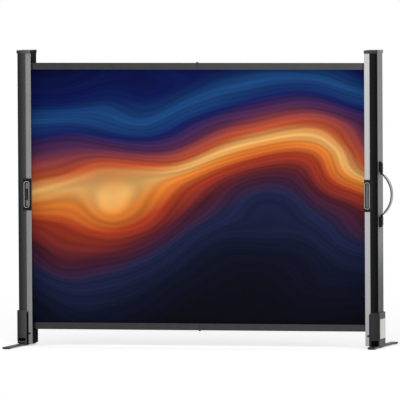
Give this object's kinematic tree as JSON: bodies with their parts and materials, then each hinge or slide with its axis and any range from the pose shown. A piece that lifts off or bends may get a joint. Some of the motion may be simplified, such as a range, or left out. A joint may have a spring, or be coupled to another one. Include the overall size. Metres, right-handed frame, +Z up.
{
  "type": "tabletop projection screen",
  "caption": "Free-standing tabletop projection screen: a fabric stretched between channel posts with folding crossbars, folding feet, a spring roller, a latch and a carrying handle.",
  "frame": {"origin": "on the table, under the middle of the object's overall box", "axes": "+X across the picture to the viewer's right, +Y towards the back, +Z up"},
  "size_m": [0.9146, 0.342, 0.7051],
  "materials": {
    "anodised_aluminium": "satin anodised",
    "dark_panel": "satin black",
    "black_moulding": "fine spark-eroded texture",
    "grey_moulding": "fine texture",
    "grey_crossbar": "satin dark grey",
    "foot_paint": "powder coat",
    "foot_rubber": "matt",
    "bright_steel": "zinc plated",
    "latch_steel": "blackened",
    "handle_paint": "satin black",
    "handle_rubber": "soft touch",
    "projection_fabric": "coated white front, black back"
  },
  "bodies": {
    "left_post": {"post_left": "anodised_aluminium", "front_panel_left": "dark_panel", "rear_panel_left": "dark_panel", "top_cap_left": "grey_moulding", "bottom_plug_left": "black_moulding", "plug_screws_left": "bright_steel", "shoe_left": "black_moulding", "base_bar_left": "foot_paint", "base_pads_left": "foot_rubber", "leg_hinge_pin_left": "bright_steel", "top_bracket_left": "bright_steel", "bottom_bracket_left": "bright_steel", "pivot_pins_left": "bright_steel", "latch_plate_left": "black_moulding", "roller_brackets_left": "bright_steel", "roller_arbor_left": "bright_steel", "roller_spring_left": "bright_steel", "screen_fabric": "projection_fabric"},
    "roller": {"roller_tube_left": "anodised_aluminium", "roller_plugs_left": "black_moulding", "wound_fabric_left": "projection_fabric"},
    "top_arm_left": {"top_bar_left": "grey_crossbar", "top_bar_left_pivot_end": "black_moulding", "top_bar_left_hinge_end": "grey_moulding", "top_hinge_pin": "bright_steel"},
    "top_arm_right": {"top_bar_right": "grey_crossbar", "top_bar_right_pivot_end": "black_moulding", "top_bar_right_hinge_end": "grey_moulding"},
    "bottom_arm_left": {"bottom_bar_left": "grey_crossbar", "bottom_bar_left_pivot_end": "black_moulding", "bottom_bar_left_hinge_end": "grey_moulding", "bottom_hinge_pin": "bright_steel"},
    "bottom_arm_right": {"bottom_bar_right": "grey_crossbar", "bottom_bar_right_pivot_end": "black_moulding", "bottom_bar_right_hinge_end": "grey_moulding"},
    "right_post": {"post_right": "anodised_aluminium", "front_panel_right": "dark_panel", "rear_panel_right": "dark_panel", "top_cap_right": "grey_moulding", "bottom_plug_right": "black_moulding", "plug_screws_right": "bright_steel", "shoe_right": "black_moulding", "base_bar_right": "foot_paint", "base_pads_right": "foot_rubber", "leg_hinge_pin_right": "bright_steel", "top_bracket_right": "bright_steel", "bottom_bracket_right": "bright_steel", "pivot_pins_right": "bright_steel", "keeper_plate_right": "black_moulding", "fabric_clamp_right": "anodised_aluminium", "handle_lugs": "black_moulding", "handle_screws": "bright_steel"},
    "latch": {"latch_slider_left": "latch_steel"},
    "latch_hook": {"latch_hook_left": "latch_steel"},
    "handle": {"handle_bail": "handle_paint", "handle_grip": "handle_rubber"},
    "left_leg": {"leg_left": "foot_paint", "leg_pad_left": "foot_rubber"},
    "right_leg": {"leg_right": "foot_paint", "leg_pad_right": "foot_rubber"}
  },
  "joints": [
    {"name": "fold", "type": "hinge", "parent": "left_post", "child": "top_arm_left", "pos_m": [-0.42724, -0.0195, 0.6671], "axis": [0, 1, 0], "range_deg": [0, 90], "deforming": ["screen_fabric"]},
    {"name": "top_centre_hinge", "type": "hinge", "parent": "top_arm_left", "child": "top_arm_right", "pos_m": [-0.01374, -0.0195, 0.6756], "axis": [0, 1, 0], "range_deg": [-180, 0]},
    {"name": "right_post_hinge", "type": "hinge", "parent": "top_arm_right", "child": "right_post", "pos_m": [0.39976, -0.0195, 0.6671], "axis": [0, 1, 0], "range_deg": [0, 90]},
    {"name": "bottom_fold", "type": "hinge", "parent": "left_post", "child": "bottom_arm_left", "pos_m": [-0.42724, -0.009, 0.0471], "axis": [0, 1, 0], "range_deg": [-90, 0]},
    {"name": "bottom_centre_hinge", "type": "hinge", "parent": "bottom_arm_left", "child": "bottom_arm_right", "pos_m": [-0.01374, -0.009, 0.0386], "axis": [0, 1, 0], "range_deg": [0, 180]},
    {"name": "roller_spin", "type": "hinge", "parent": "left_post", "child": "roller", "pos_m": [-0.43624, 0.0125, 0.3571], "axis": [0, 0, 1], "range_deg": [-4230, 0]},
    {"name": "latch_slide", "type": "slide", "parent": "left_post", "child": "latch", "axis": [0, 0, -1], "range_m": [0, 0.008]},
    {"name": "hook_swing", "type": "hinge", "parent": "left_post", "child": "latch_hook", "pos_m": [-0.43144, -0.0252, 0.3283], "axis": [0, -1, 0], "range_deg": [0, 90]},
    {"name": "handle_swing", "type": "hinge", "parent": "right_post", "child": "handle", "pos_m": [0.42976, -0.01, 0.3643], "axis": [0, 0, 1], "range_deg": [-90, 90]},
    {"name": "left_leg_fold", "type": "hinge", "parent": "left_post", "child": "left_leg", "pos_m": [-0.44394, -0.0328, 0.0095], "axis": [-0.9994, 0.0349, 0], "range_deg": [0, 90]},
    {"name": "right_leg_fold", "type": "hinge", "parent": "right_post", "child": "right_leg", "pos_m": [0.41646, 0.0328, 0.0095], "axis": [0.9994, -0.0349, 0], "range_deg": [0, 90]}
  ],
  "couplings": [
    {"joint": "top_centre_hinge", "follows": "fold", "ratio": -2},
    {"joint": "right_post_hinge", "follows": "fold", "ratio": 1},
    {"joint": "bottom_fold", "follows": "fold", "ratio": -1},
    {"joint": "bottom_centre_hinge", "follows": "fold", "ratio": 2},
    {"joint": "roller_spin", "follows": "fold", "ratio": -47},
    {"joint": "hook_swing", "follows": "latch_slide", "rad_per_m": 196.35}
  ]
}
